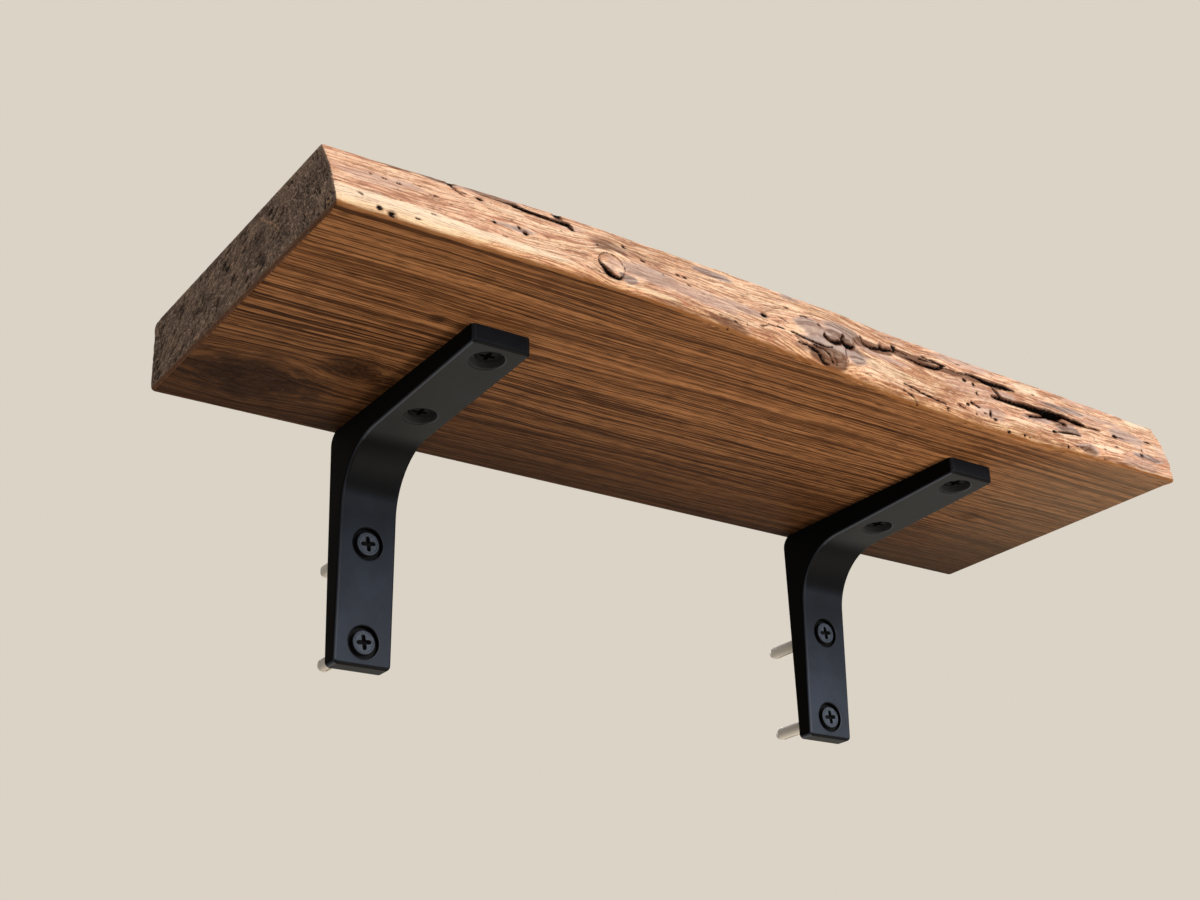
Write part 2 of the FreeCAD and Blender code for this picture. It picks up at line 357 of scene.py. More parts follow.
def coatedSteel():
    material, shader, at = newMaterial("coatedSteel")
    x, y, z = parted(at)
    sideways, forward, upward = parted(at.node("ShaderNodeTexCoord", {}, {}, 1))  # the face's direction
    left, front = sideways * -1.0, forward * -1.0
    grain, pebble, cloud = speckles(at, steelCoat, "grain", "pebble", "cloud")
    # painted highlight along the left-facing arrises
    rim = rise(left, 0.1, 0.3) * (1.0 - rise(left, 0.5, 0.75))
    # painted shade: the faces turned to either side
    side = largest(rise(left, 0.72, 0.97), rise(sideways, 0.2, 0.6))
    # painted shade in the bend between the legs
    hollow = rise(forward * upward, 0.06, 0.4) * 0.95
    # painted shade on the shelf leg's end face
    tipShade = rise(y * -1.0, steelCoat["tipStart"], steelCoat["tipEnd"]) * rise(front, 0.4, 0.9) * 0.7
    # painted shade on the wall leg's upper part, below the shelf
    shaded = rise(z, steelCoat["shadedFrom"], steelCoat["shadedTo"]) * rise(front, 0.3, 0.9) * 0.55
    across, radius = steelCoat["wells"]
    middle, half = steelCoat["shelfWells"]
    offX, offY, offZ = abs(x) - across, abs(y + middle) - half, abs(z) - steelCoat["wallWells"]
    wallHole = offX * offX + offZ * offZ
    shelfHole = offX * offX + offY * offY
    low, high = (radius - 0.1) ** 2, (radius + 0.3) ** 2
    meet = steelCoat["legsMeet"]
    # painted shade inside the wall legs' screw holes
    wallHoleShade = (1.0 - rise(wallHole, low, high)) * (1.0 - rise(z, meet, meet + 1.0))
    # painted light on the walls of the shelf legs' screw holes
    shelfHoleLight = (1.0 - rise(shelfHole, low, high)) * rise(z, meet + 5.0, meet + 6.0)
    base = blend(rise(cloud, 0.35, 0.65), steelCoat["colour"], steelCoat["sheen"])
    colour = painted(base, steelCoat, [
        (rise(grain, 0.58, 0.74) * 0.4, "speck"),
        # painted shade, tinted warm, on the downward faces
        (rise(upward * -1.0, 0.5, 0.95) * 0.7, "under"),
        (rim * 0.6, "rim"),
        # the painted shades above all take the near black side colour
        (largest(side, hollow, tipShade, shaded), "side"),
        (wallHoleShade, "well"),
        (shelfHoleLight * 0.8, "shelfWell"),
    ])
    roughness = steelCoat["roughness"] + cloud * 0.12 + grain * 0.08 + side * 0.4
    finishShader(shader, colour, roughness, grain * 0.06 + pebble * 0.06, 0.9, steelCoat["gloss"])
    return material


# near and far are the planes of the heads' faces on either side of a split
def blackScrew(name, coat, axis, split, near, far):
    material, shader, at = newMaterial(name)
    place = parted(at)
    rub, fine = speckles(at, screwNoise, "rub", "fine")
    colour = blend(rise(rub, 0.5, 0.7) * 0.5, coat["colour"], coat["worn"])
    along, other = (place[1], place[2]) if axis == "y" else (place[2], place[1])
    face = rise(other, split - 1.0, split + 1.0) * (far - near) + near
    # painted shade in the cross recess, by depth under the head's face
    recess = rise(along - face, *screwNoise["recess"])
    colour = blend(recess, colour, coat["recess"])
    roughness = coat["roughness"] + rub * 0.16 + recess * 0.4
    finishShader(shader, colour, roughness, fine * 0.03 + rub * 0.04, 0.8, coat["gloss"])
    return material


def beigeNylon():
    material, shader, at = newMaterial("beigeNylon")
    cloud, fine = speckles(at, nylon, "cloud", "fine")
    colour = blend(cloud, nylon["shade"], nylon["colour"])
    finishShader(shader, colour, nylon["roughness"] + fine * 0.15, fine * 0.05, 0.6)
    return material


def headPlane(name, axis):  # where a screw's head faces the room, in millimetres
    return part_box(name)[0][axis] / mm


wallPlanes = [headPlane("left_wall_screw_" + end, 1) for end in ("lower", "upper")]
shelfPlanes = [headPlane("left_shelf_screw_" + end, 2) for end in ("front", "rear")]
shelfSplit = steelCoat["shelfWells"][0]
coatings = {
    "bracket": coatedSteel(),
    "wall_screw": blackScrew("blackWallScrew", wallScrewCoat, "y", 0.0, *wallPlanes),
    "shelf_screw": blackScrew("shadedBlackShelfScrew", shadedShelfScrewCoat, "z", -shelfSplit, *shelfPlanes),
    "plug": beigeNylon(),
}
for name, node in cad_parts.items():
    for word, material in coatings.items():
        if word in name:
            for slot in node.material_slots:
                slot.material = material
print("steel and plugs finished")


# The board: a planed slab with one natural, weathered edge

board = {
    "left": -293.5,
    "right": 306.5,
    "underside": 96.0,
    "thickness": 41.5,
    "depth": 222.0,
    "arris": 2.3,
    "backRound": 4.0,
    "belly": 2.6,
    "deepest": 221.5,
    # natural edge as (x, depth from the wall), at the underside and at the top
    "bottomLine": [
        (-330, 222.2), (-250, 222.0), (-180, 221.6), (-110, 220.2), (-50, 214.0), (0, 208.2), (40, 204.2),
        (72, 199.2), (110, 198.0), (170, 196.6), (215, 198.4), (262, 200.4), (345, 200.6),
    ],
    "topLine": [
        (-330, 203.4), (-256, 205.0), (-210, 207.4), (-150, 209.0), (-90, 207.6), (-20, 205.2), (40, 202.0),
        (90, 199.0), (150, 197.0), (215, 194.6), (262, 192.2), (345, 189.4),
    ],
    "swelling": (8.0, 18.0, 34.0, 2.4),  # knot's x, height, spread and rise
    # bands of columns along the board: where each ends and how far apart its columns are
    "bands": [
        (-285.5, 2.0), (-210, 1.5), (-155, 0.8), (-130, 0.8), (-50, 1.5), (-22, 1.2), (62, 0.8), (108, 0.8),
        (150, 1.0), (232, 0.8), (298.5, 1.5), (306.5, 2.0),
    ],
    "rows": 60,
    "endColumns": 190,
    "flatColumns": 8,
    "endBand": 8.0,
    "inset": 1.0,  # between a large face's rim and its first column
    "longRun": 20.0,  # edges longer than this get the rows and columns
    "bigFace": 4000.0,  # area of the faces that are inset
    "sharpAngle": 1.0,  # radians, of the edges that are rounded
    # relief of the natural edge: how high, then size along and up, and seed
    "waves": [(0.7, 34, 11, 1.3), (0.35, 16, 3.4, 2.9)],
    "ridges": [(0.24, 11, 1.5, 5.0), (0.16, 4.2, 1.1, 8.0)],
    "setBack": 0.9,  # keeps the highest ridges inside the outline
    # worn corners: least wear, the noise's share, its sizes and seed, and how far wear goes back and in
    "wear": {"least": 0.35, "uneven": 0.5, "noise": (22, 30, 9.0), "back": 0.6, "inward": 0.5},
    "crisp": 0.65,  # share of the ends' round-over taken off near the natural edge and the top
    "crispReach": (4, 9),
    "topRound": 0.4,  # share of the top's round-over that stays
    # sawn ends: size of the strokes along and across, zones as (turn in degrees, stretch, distances from
    # the wall between which they fade in and fade out), depth of strokes and hollows, size of hollows
    "longStroke": (9.0, 1.7),
    "shortStroke": (4.0, 0.9),
    "zones": [
        (38, 1.0, (-20, -10), (96, 124)), (27, 1.0, (90, 118), (156, 176)),
        (84, 1.1, (148, 172), (300, 310)),
    ],
    "cutDepth": 0.75,
    "hollowDepth": 0.5,
    "hollow": (17, 14),
    # pale torn fibres there, as (distance from the wall, height, half length, half height), and a split
    "chips": [
        (105, 27, 2.2, 1.0), (190, 11, 1.6, 0.9), (212, 6, 1.4, 0.8), (62, 5, 2.4, 0.8),
        (149, 10, 1.2, 0.7),
    ],
    "split": [(137, 37, 0.3), (143, 32, 0.5), (152, 26, 0.4), (160, 19, 0.3)],
}
boardTop = board["underside"] + board["thickness"]
boardMiddle = (board["left"] + board["right"]) / 2
halfLength = (board["right"] - board["left"]) / 2

# Weathering of the natural edge, as (x, height above the underside) in millimetres

voids = [  # outline and depth
    ([(146, 21.9), (155, 22.8), (166, 23.0), (174, 23.8), (184, 24.0), (192, 24.7), (197, 25.1),
      (210, 24.8), (214, 24.1), (216.4, 23.3), (219.6, 23.9), (223, 23.3), (228.5, 21.9), (224, 21.1),
      (217, 21.1), (212.5, 22.0), (208.4, 22.6), (205.6, 21.2), (204.2, 19.4), (199, 18.7), (191.5, 18.8),
      (187.6, 20.3), (174, 21.0), (160, 21.2), (149, 21.2)], 9.0),
    ([(204.4, 18.4), (206.6, 19.0), (209.3, 18.9), (209.0, 17.0), (205.6, 16.8)], 3.5),
    ([(-196.5, 38.0), (-192, 38.3), (-186, 36.7), (-178, 36.3), (-172, 35.9), (-168, 36.4), (-161.6, 36.6),
      (-160.9, 32.4), (-162.4, 32.4), (-163.6, 34.2), (-168, 34.6), (-176, 35.1), (-186, 35.3),
      (-194, 36.2)], 4.5),
    ([(-170.2, 40.6), (-166.4, 39.9), (-165.8, 38.6), (-168.2, 38.8)], 2.2),
    ([(4.2, 20.6), (5.6, 18.9), (8.8, 17.9), (12.6, 18.1), (15.2, 19.4), (17.4, 19.6), (16.9, 17.8),
      (12.5, 16.4), (8.6, 16.6), (5.2, 17.4), (3.6, 18.8)], 4.0),
    ([(18.2, 23.2), (19.2, 20.8), (21.6, 19.4), (25.4, 19.6), (28.6, 20.6), (27.6, 18.6), (24.8, 17.4),
      (21.2, 17.2), (18.4, 18.6), (17.8, 21.0)], 4.5),
    ([(127, 31.8), (132, 32.4), (139, 31.7), (147, 31.1), (155, 31.9), (162, 31.6), (167.4, 30.9),
      (161, 30.2), (153, 29.7), (147, 28.9), (140.5, 29.4), (134, 30.9)], 3.6),
]
cracks = [  # course as (x, height, half width), then depth
    ([(147.6, 27.4, 0.4), (150.8, 25.2, 0.7), (153.6, 22.8, 0.8)], 2.5),
    ([(148.2, 27.6, 0.3), (155, 28.9, 0.3), (161, 29.6, 0.25)], 0.6),
    ([(228.4, 21.6, 0.5), (233, 21.4, 0.3), (237.4, 21.9, 0.5), (242.8, 22.0, 0.3)], 1.2),
    ([(178.4, 16.9, 0.6), (185, 17.6, 0.5), (191.5, 18.8, 0.5)], 1.5),
    ([(198.6, 11.4, 0.4), (205, 12.2, 0.5), (211.4, 13.1, 0.55), (223.4, 14.2, 0.3)], 1.0),
    ([(-227.6, 39.8, 0.9), (-226.2, 37.4, 0.7), (-224.6, 34.8, 0.35), (-222.6, 32.8, 0.3)], 1.3),
    ([(-203.5, 38.0, 0.3), (-196.5, 37.2, 0.6)], 1.0),
    ([(70, 28.4, 0.4), (76, 28.0, 0.7), (86.4, 27.4, 0.8), (93, 27.5, 0.9), (100, 27.9, 0.8),
      (104.6, 29.6, 0.6)], 3.2),
    ([(86, 30.7, 0.35), (94, 31.1, 0.3), (103.8, 31.0, 0.4)], 0.9),
    ([(89.6, 33.3, 0.3), (97.4, 32.6, 0.5), (105, 32.1, 0.45), (108.4, 32.3, 0.3)], 1.2),
    ([(37.4, 24.9, 0.5), (42.6, 24.5, 0.9), (48, 25.4, 0.9), (52.6, 26.6, 0.8), (58, 27.8, 0.6),
      (66, 29.0, 0.5)], 2.4),
    ([(36.6, 29.4, 0.5), (37.0, 26.6, 0.8), (38.2, 24.7, 0.5)], 1.8),
    ([(54.6, 26.0, 0.5), (58.4, 27.4, 0.5), (61.6, 29.2, 0.3)], 1.2),
    ([(66.4, 30.5, 0.4), (71, 30.2, 0.3), (76, 29.9, 0.3)], 0.8),
    ([(71, 10.8, 0.3), (77.6, 10.5, 0.4), (85, 9.5, 0.45), (92.6, 8.7, 0.45), (100, 8.1, 0.4),
      (106.4, 7.5, 0.3)], 1.0),
    ([(70.4, 7.3, 0.25), (75, 6.4, 0.3), (79.8, 5.3, 0.35), (81.8, 3.1, 0.45), (83.2, 1.4, 0.5)], 0.8),
    ([(37.6, 7.2, 0.3), (42.6, 7.0, 0.25), (47.6, 5.7, 0.25)], 0.4),
    ([(-149.4, 15.8, 0.5), (-148.2, 13.4, 0.7), (-146.4, 11.2, 0.9), (-144.2, 9.2, 1.3), (-141.4, 8.3, 0.9),
      (-138.8, 8.2, 0.7), (-136.4, 9.7, 0.35)], 2.4),
    ([(21.4, 16.2, 0.35), (21.0, 12.3, 0.3), (23.2, 9.0, 0.3)], 0.7),
    ([(-15.4, 9.6, 0.4), (-9, 9.5, 0.5), (-3.8, 8.8, 0.6), (-1.2, 7.0, 0.7), (1.4, 4.8, 0.7),
      (4.0, 3.3, 0.8), (7.4, 3.2, 0.4)], 1.6),
    ([(-4.6, 11.0, 0.3), (2, 10.4, 0.4), (7, 8.4, 0.5), (10.6, 5.0, 0.4)], 1.0),
    ([(-20.4, 14.6, 0.35), (-12, 13.5, 0.6), (-4, 12.7, 0.7), (4, 12.4, 0.5), (10, 13.8, 0.3)], 1.0),
    ([(-42.6, 11.4, 0.4), (-39.6, 12.2, 0.35), (-37, 13.5, 0.25)], 0.8),
    ([(-36.4, 14.6, 0.5), (-32.6, 14.4, 0.3), (-30, 14.9, 0.45), (-25, 15.2, 0.3)], 0.8),
    ([(-37.6, 26.5, 0.3), (-30, 26.9, 0.25), (-20, 27.9, 0.25)], 0.4),
    ([(-28, 21.8, 0.35), (-24.6, 20.9, 0.3), (-21.6, 19.6, 0.3)], 0.5),
    ([(-292.5, 28.9, 0.25), (-285, 32.2, 0.25), (-275, 33.0, 0.25)], 0.15),
    ([(-293, 14.6, 0.4), (-289.6, 16.2, 0.3)], 0.5),
    ([(-292, 16.0, 0.2), (-282, 15.6, 0.25), (-265, 14.2, 0.25), (-246, 14.4, 0.3), (-232, 15.2, 0.3),
      (-218, 15.0, 0.25), (-206, 12.6, 0.25), (-192, 10.8, 0.3), (-183, 9.2, 0.2)], 0.1),
    ([(-8, 8.0, 0.4), (-2, 7.4, 0.4), (3, 5.4, 0.5), (6, 2.6, 0.4)], 0.6),
    ([(10, 9.6, 0.5), (13.4, 7.2, 0.5), (13.8, 4.2, 0.4)], 0.6),
    ([(168, 16.2, 0.3), (176, 15.8, 0.3), (183, 15.0, 0.3)], 0.3),
    ([(-100, 36.4, 0.3), (-86, 35.4, 0.3), (-70, 35.0, 0.3), (-58, 35.6, 0.3)], 0.12),
    ([(-48, 30.6, 0.3), (-36, 29.8, 0.3), (-24, 30.0, 0.3)], 0.2),
    ([(-90, 7.4, 0.3), (-80, 6.6, 0.3), (-68, 6.9, 0.3)], 0.3),
    ([(-85, 4.6, 0.3), (-75.4, 4.5, 0.35)], 0.4),
    ([(-158, 9.4, 0.3), (-150, 8.6, 0.4), (-145, 8.4, 0.4)], 0.5),
    ([(117.4, 10.1, 0.5), (120, 9.6, 0.3), (122.8, 9.1, 0.4)], 0.8),
    ([(128, 13.6, 0.7), (131, 13.0, 0.5), (134.8, 12.0, 0.5)], 1.2),
    ([(108.4, 30.6, 0.3), (115, 30.2, 0.3), (122.6, 30.4, 0.35), (127, 31.4, 0.4)], 0.7),
    ([(235.4, 13.2, 0.3), (238.4, 13.0, 0.25)], 0.4),
    ([(223.6, 3.2, 0.3), (228, 6.2, 0.3), (231.6, 9.6, 0.25)], 0.4),
    ([(221.6, 5.2, 0.3), (226, 5.0, 0.4), (233, 6.8, 0.25)], 0.4),
]
rings = [(-141.9, 15.6, 7.7, 0.25, 0.5)]  # knot's x, height, radius, half width and depth
lumps = [  # x, height, half length, half height, rise
    (20, 26.4, 17, 5.8, 1.9), (-4, 23, 12, 6, 0.9), (211, 16.2, 11, 3.0, 1.1), (-142, 15.6, 7.2, 7.2, 0.2),
    (-30, 12.6, 18, 1.3, 0.5), (98, 29.6, 8, 1.4, 0.8), (60, 14, 36, 6, 0.5), (283, 13, 7, 3, 0.5),
    (4, 8, 7, 3.4, 0.7),
]
pits = [  # x, height, half length, half height, depth
    (-272, 28, 0.8, 0.6, 0.6), (-265, 27.5, 1.4, 0.5, 0.5), (-257.5, 27.4, 1.4, 0.7, 0.5),
    (-246, 30.4, 1.8, 0.4, 0.4), (-241, 25.7, 1.8, 0.4, 0.5), (-238.3, 26.0, 1.0, 0.7, 1.0),
    (-231.6, 22.9, 0.7, 0.5, 0.5), (-235.6, 21, 1.2, 0.35, 0.4), (-280, 11.1, 0.9, 0.7, 0.9),
    (-271.4, 5.4, 1.3, 1.2, 1.0), (-265.1, 3.7, 1.7, 1.5, 1.6), (-251.6, 6, 1.7, 0.4, 0.6),
    (-242.4, 12.2, 1.1, 0.4, 0.4), (-204, 12.2, 1.7, 0.4, 0.5), (-213.6, 33.9, 1.9, 1.0, 1.5),
    (-221.6, 35.6, 1.5, 0.5, 0.6), (-208.9, 19.4, 1.2, 0.8, 1.0), (-194.6, 21.3, 0.8, 1.1, 1.1),
    (-191.6, 18.5, 1.2, 1.1, 1.3), (-198, 25, 1.0, 0.4, 0.3), (-168.5, 28.4, 0.8, 0.5, 0.4),
    (-148, 27, 0.8, 0.6, 0.5), (-129.8, 32.5, 1.3, 0.9, 0.9), (-120.3, 25.6, 1.0, 0.9, 1.0),
    (-116.5, 24.8, 0.9, 0.5, 0.4), (-97.5, 24.8, 1.2, 0.7, 0.8), (-93.3, 25, 1.4, 0.7, 0.9),
    (-91.2, 20.4, 1.4, 0.5, 0.5), (-109.4, 20.6, 0.8, 0.6, 0.5), (-110.6, 30.9, 1.4, 0.4, 0.3),
    (-71.9, 8.5, 0.8, 0.9, 0.6), (-61.3, 8.1, 0.9, 0.7, 0.6), (-53.1, 8.5, 1.2, 0.5, 0.5),
    (-68, 0.9, 1.0, 0.6, 0.5), (-82, 17.9, 1.4, 0.4, 0.3), (-39.1, 19, 1.9, 0.9, 1.3),
    (-20.6, 30.1, 2.0, 0.5, 0.6), (-10.6, 27.3, 0.9, 0.7, 0.7), (-7.5, 27.9, 1.5, 0.7, 0.8),
    (1.25, 25.1, 1.2, 1.0, 1.0), (53.1, 27.6, 1.3, 2.2, 2.2), (65.2, 31.3, 1.5, 1.9, 2.2),
    (105.8, 31.0, 1.7, 1.3, 2.4), (123.8, 27, 1.5, 0.9, 1.2), (131.3, 26, 1.1, 0.8, 1.0),
    (133.7, 20.7, 1.0, 1.0, 1.1), (125, 11.9, 1.4, 0.7, 1.0), (132.6, 7.7, 0.9, 0.6, 0.6),
    (144.3, 10.5, 1.0, 1.8, 1.2), (148.5, 8, 1.5, 0.7, 1.0), (139.6, 9.8, 1.8, 0.4, 0.5),
    (108.1, 5, 1.1, 0.9, 0.8), (121.2, 37.2, 2.2, 0.4, 0.4), (160, 3.1, 1.7, 0.8, 0.8),
    (173.7, 3.8, 1.0, 0.8, 0.8), (177.8, 3.3, 1.3, 0.4, 0.4), (210.6, 4.1, 0.7, 1.2, 0.9),
    (219.4, 6.1, 4.0, 0.5, 0.5), (198.6, 11.4, 1.5, 0.7, 1.0), (256.2, 21.2, 1.8, 0.9, 1.3),
    (262, 21.3, 4.0, 0.4, 0.4), (279.1, 13.1, 1.2, 1.1, 1.6), (281.9, 17.2, 0.9, 1.1, 0.6),
    (255.6, 13.5, 1.6, 0.6, 0.7), (243.7, 9.4, 2.0, 0.4, 0.5), (242.4, 2.9, 0.9, 0.5, 0.5),
    (245.4, 2.9, 0.8, 0.5, 0.4), (290.6, 25.4, 4.0, 0.6, 0.8), (284, 29.4, 0.6, 1.5, 0.4),
    (186.6, 34.0, 1.6, 0.4, 0.4), (230, 40.8, 2.6, 0.4, 0.4),
]
stains = {  # soft patches: x, height, half length, half height, strength
    "grey": [
        (-197, 19.8, 12, 1.9, 0.9), (-272, 25, 18, 4.4, 0.5), (-255, 28, 10, 2.4, 0.6),
        (-132.6, 9.6, 5, 2.2, 1.0), (-118, 17, 19, 5.4, 0.7), (-85, 15.6, 26, 4.6, 0.62),
        (-71, 35.7, 13, 2.3, 1.5), (-6, 22, 10, 6.4, 0.85), (20, 26.6, 17, 5.8, 1.0),
        (14, 20.4, 18, 4.4, 1.0), (-142, 16, 6, 6, 0.5), (7, 14.2, 17, 3.8, 1.1), (29, 14.6, 9, 4.4, 1.1),
        (212, 15.6, 11, 3.0, 1.0), (211, 30, 18, 2.1, 1.3), (250, 31, 20, 2.4, 0.55),
        (268, 24, 17, 4.6, 0.75), (284, 12.4, 15, 2.2, 1.0), (229, 6, 9, 3.8, 0.85), (277, 6, 18, 3.6, 0.5),
        (-14, 39, 7, 1.4, 0.8), (132, 22, 28, 5, 0.4), (158, 25, 9, 2.6, 0.65), (54, 22.6, 22, 1.8, 0.65),
        (145, 11, 13, 3.4, 0.6), (-56, 18.4, 18, 3.4, 0.62), (126, 38.4, 28, 2.6, 0.6),
        (-163, 34, 10, 3.6, 0.5), (-215, 40, 30, 1.6, 0.7), (230, 38.6, 18, 1.6, 0.5),
        (184, 16.2, 12, 1.8, 0.8), (280, 18, 9, 1.8, 0.5), (301, 19, 6, 7, 0.45), (-35, 25, 12, 3, 0.3),
        (238, 26, 14, 2.4, 0.4), (60, 38, 14, 2, 0.35), (-175, 12.6, 10, 1.2, 0.4),
    ],
    "brown": [
        (-124, 29.5, 22, 3.2, 0.5), (-141, 29, 12, 4.2, 0.8), (36, 25.4, 8, 3.0, 1.2),
        (47, 26.0, 14, 2.3, 1.5), (76, 28.8, 20, 2.4, 1.5), (113, 28.8, 12, 2.0, 1.1),
        (138, 30.6, 18, 2.0, 1.1), (9, 7.4, 13, 5.2, 1.6), (-65, 4.4, 15, 3.4, 0.75),
        (-236, 40.6, 30, 1.4, 0.9), (-203, 38.8, 12, 1.6, 0.9), (184, 18.0, 9, 1.2, 0.9),
        (201, 17.6, 7, 2.0, 0.9), (-100, 38, 38, 2.4, 0.35), (-13, 8, 8, 3, 0.65), (94, 31.8, 14, 1.3, 0.8),
        (212, 20.4, 11, 2.2, 0.6), (-142, 11, 7, 3.4, 0.45), (140, 4.6, 20, 2, 0.5), (228, 5, 7, 2.6, 0.7),
        (-100, 3.4, 24, 1.8, 0.7), (88, 9, 18, 1.2, 0.5), (-8, 12.6, 13, 1.2, 0.7),
        (165, 22.4, 16, 1.8, 0.7), (190, 3.6, 30, 1.6, 0.6), (-52, 17, 14, 1.6, 0.45),
        (-150, 22, 6, 8, 0.3), (-205, 30, 14, 1.2, 0.3), (290, 32, 12, 1.6, 0.35), (36, 17, 7, 2, 0.5),
        (-105, 24, 22, 2.6, 0.35), (60, 3, 34, 1.6, 0.5), (268, 3.4, 26, 1.6, 0.6),
    ],
    "pale": [
        (-262, 8, 46, 5.6, 1.0), (-206, 8.6, 40, 2.8, 0.55), (52, 15, 26, 3, 0.5),
        (248, 10.4, 13, 1.1, 1.0), (182, 36, 12, 3.8, 0.6), (290, 39, 16, 2.0, 0.55),
        (178, 12, 18, 1.6, 0.4), (-48, 29, 24, 1.6, 0.45), (-200, 31, 14, 1.6, 0.4),
        (-118, 6.2, 18, 1.4, 0.6), (-236, 30, 26, 2.0, 0.35), (298, 23, 7, 1.6, 0.5),
        (-50, 33.6, 20, 1.2, 0.35), (205, 11.4, 20, 1.0, 0.4), (-60, 11.2, 12, 1.0, 0.5),
    ],
    "dull": [
        (40, 36, 60, 5, 0.75), (92, 17, 36, 6, 1.0), (120, 24, 46, 6, 0.55), (-100, 35, 44, 5, 0.7),
        (290, 7, 22, 6, 0.3), (262, 24, 30, 8, 0.3), (205, 37, 40, 3, 0.4), (-90, 16, 46, 7, 0.4),
        (190, 6.4, 36, 4.6, 0.85), (-190, 21, 16, 5, 0.3), (-60, 7, 56, 5, 0.65), (-155, 22, 28, 7, 0.35),
        (300, 25, 10, 10, 0.35), (90, 6, 40, 5, 0.9), (52, 16, 28, 5, 0.6), (186, 27, 34, 4, 0.8),
        (-50, 26, 30, 8, 0.5), (-120, 27, 30, 4, 0.5), (160, 33, 20, 3, 0.4), (20, 33, 22, 3, 0.5),
    ],
}
eyes = [  # where the grain runs round a knot: x, height, half length, half height, strength
    (-142, 15.4, 9, 9, 0.85), (6, 15, 20, 11, 0.9), (105, 30.6, 7, 4, 0.8), (-195, 20, 8, 4, 0.6),
    (278, 13, 6, 4, 0.7), (207, 20, 9, 4, 0.6), (229, 6, 7, 4, 0.6), (145, 10, 7, 4, 0.6),
    (-221, 35, 5, 3, 0.7),
]


def easedStep(value, low, high):
    share = min(max((value - low) / (high - low), 0.0), 1.0)
    return share * share * (3 - 2 * share)


def depthAt(line, x):  # smooth curve through a drawn line
    last = len(line) - 1
    i = 0
    while i < last - 1 and line[i + 1][0] < x:
        i += 1

    def slope(k):
        a, b = line[max(k - 1, 0)], line[min(k + 1, last)]
        return (b[1] - a[1]) / (b[0] - a[0])

    (x0, d0), (x1, d1) = line[i], line[i + 1]
    span = x1 - x0
    t = (x - x0) / span
    start = (1 + 2 * t) * (1 - t) ** 2 * d0 + t * (1 - t) ** 2 * span * slope(i)
    return start + t * t * (3 - 2 * t) * d1 + t * t * (t - 1) * span * slope(i + 1)


def edgeDepth(bottom, top, x, h):
    share = h / board["thickness"]
    knotX, knotHeight, spread, swell = board["swelling"]
    away = ((x - knotX) / spread) ** 2 + ((h - knotHeight) / knotHeight) ** 2
    straight = bottom * (1 - share) + top * share
    return straight + 4 * board["belly"] * share * (1 - share) + swell * math.exp(-away)


def behindFront(co):  # how far a point lies behind the natural edge at its own height
    h = co.z - board["underside"]
    lines = depthAt(board["bottomLine"], co.x), depthAt(board["topLine"], co.x)
    return edgeDepth(*lines, co.x, h) + co.y


def toStretch(x, h, a, b):  # a point's distance from a straight stretch, and how far along that is
    runX, runH = b[0] - a[0], b[1] - a[1]
    share = ((x - a[0]) * runX + (h - a[1]) * runH) / (runX * runX + runH * runH)
    share = min(max(share, 0.0), 1.0)
    return math.hypot(x - a[0] - share * runX, h - a[1] - share * runH), share


def insideOutline(x, h, outline):
    inside = False
    for a, b in zip(outline, outline[1:] + outline[:1]):
        if (a[1] > h) != (b[1] > h) and x < a[0] + (h - a[1]) * (b[0] - a[0]) / (b[1] - a[1]):
            inside = not inside
    return inside


def grainNoise(x, h, long, high, seed):
    return noise.noise(Vector((x / long, h / high, seed)))


def layered(x, h, kind):
    return sum(out * grainNoise(x, h, *rest) for out, *rest in board[kind])


def nearest(course, x, h):  # how many half widths away the nearest stretch of a course is
    best = 99.0
    for a, b in zip(course, course[1:]):
        gap, share = toStretch(x, h, a, b)
        best = min(best, gap / max(a[2] + share * (b[2] - a[2]), 0.42))
    return best


def carving(x, h):  # how far the weathering goes in, how dark it is, and the soft brown round it
    ragX = x + 0.5 * grainNoise(x, h, 2.4, 1.4, 3.1)
    ragH = h + 0.3 * grainNoise(x, h, 2.8, 1.2, 7.7)
    depth = dark = soft = 0.0
    for outline, deep in voids:
        xs, hs = zip(*outline)
        if min(xs) - 2 < ragX < max(xs) + 2 and min(hs) - 2 < ragH < max(hs) + 2:
            sides = zip(outline, outline[1:] + outline[:1])
            gap = min(toStretch(ragX, ragH, a, b)[0] for a, b in sides)
            signed = gap if insideOutline(ragX, ragH, outline) else -gap
            depth = max(depth, deep * easedStep(signed, -0.6, 1.0))
            dark = max(dark, easedStep(signed, -0.9, 0.1))
            soft = max(soft, easedStep(signed, -2.2, -0.4))
    for course, deep in cracks:
        if min(p[0] for p in course) - 3 < ragX < max(p[0] for p in course) + 3:
            away = nearest(course, ragX, ragH)
            depth = max(depth, deep * (1 - easedStep(away, 0.4, 1.6)))
            dark = max(dark, min(0.15 + deep / 1.4, 1.0) * (1 - easedStep(away, 0.7, 1.7)))
            soft = max(soft, min(deep / 2.2, 0.9) * (1 - easedStep(away, 1.2, 4.0)))
    for rx, rh, radius, wide, deep in rings:
        away = abs(math.hypot(x - rx, h - rh) - radius) / wide
        depth = max(depth, deep * (1 - easedStep(away, 0.5, 2.4)))
        dark = max(dark, 0.75 * (1 - easedStep(away, 0.6, 2.6)))
    for px, ph, long, high, deep in pits:
        if abs(x - px) < 2 * long + 1 and abs(h - ph) < 2 * high + 1:
            away = math.hypot((ragX - px) / (long + 0.1), (ragH - ph) / (high + 0.2))
            depth = max(depth, deep * (1 - easedStep(away, 0.4, 1.3)))
            dark = max(dark, min(0.25 + deep / 1.3, 1.0) * (1 - easedStep(away, 0.6, 1.45)))
            soft = max(soft, min(deep / 2.2, 0.6) * (1 - easedStep(away, 1.2, 2.4)))
    return depth, dark, soft


def swelling(x, h):  # how far the knotty lumps stand out
    out = 0.0
    for px, ph, long, high, swell in lumps:
        away = math.hypot((x - px) / long, (h - ph) / high) + 0.18 * grainNoise(x, h, 7, 3, 44.0)
        out = max(out, swell * (1 - easedStep(away, 0.55, 1.05)))
    return out


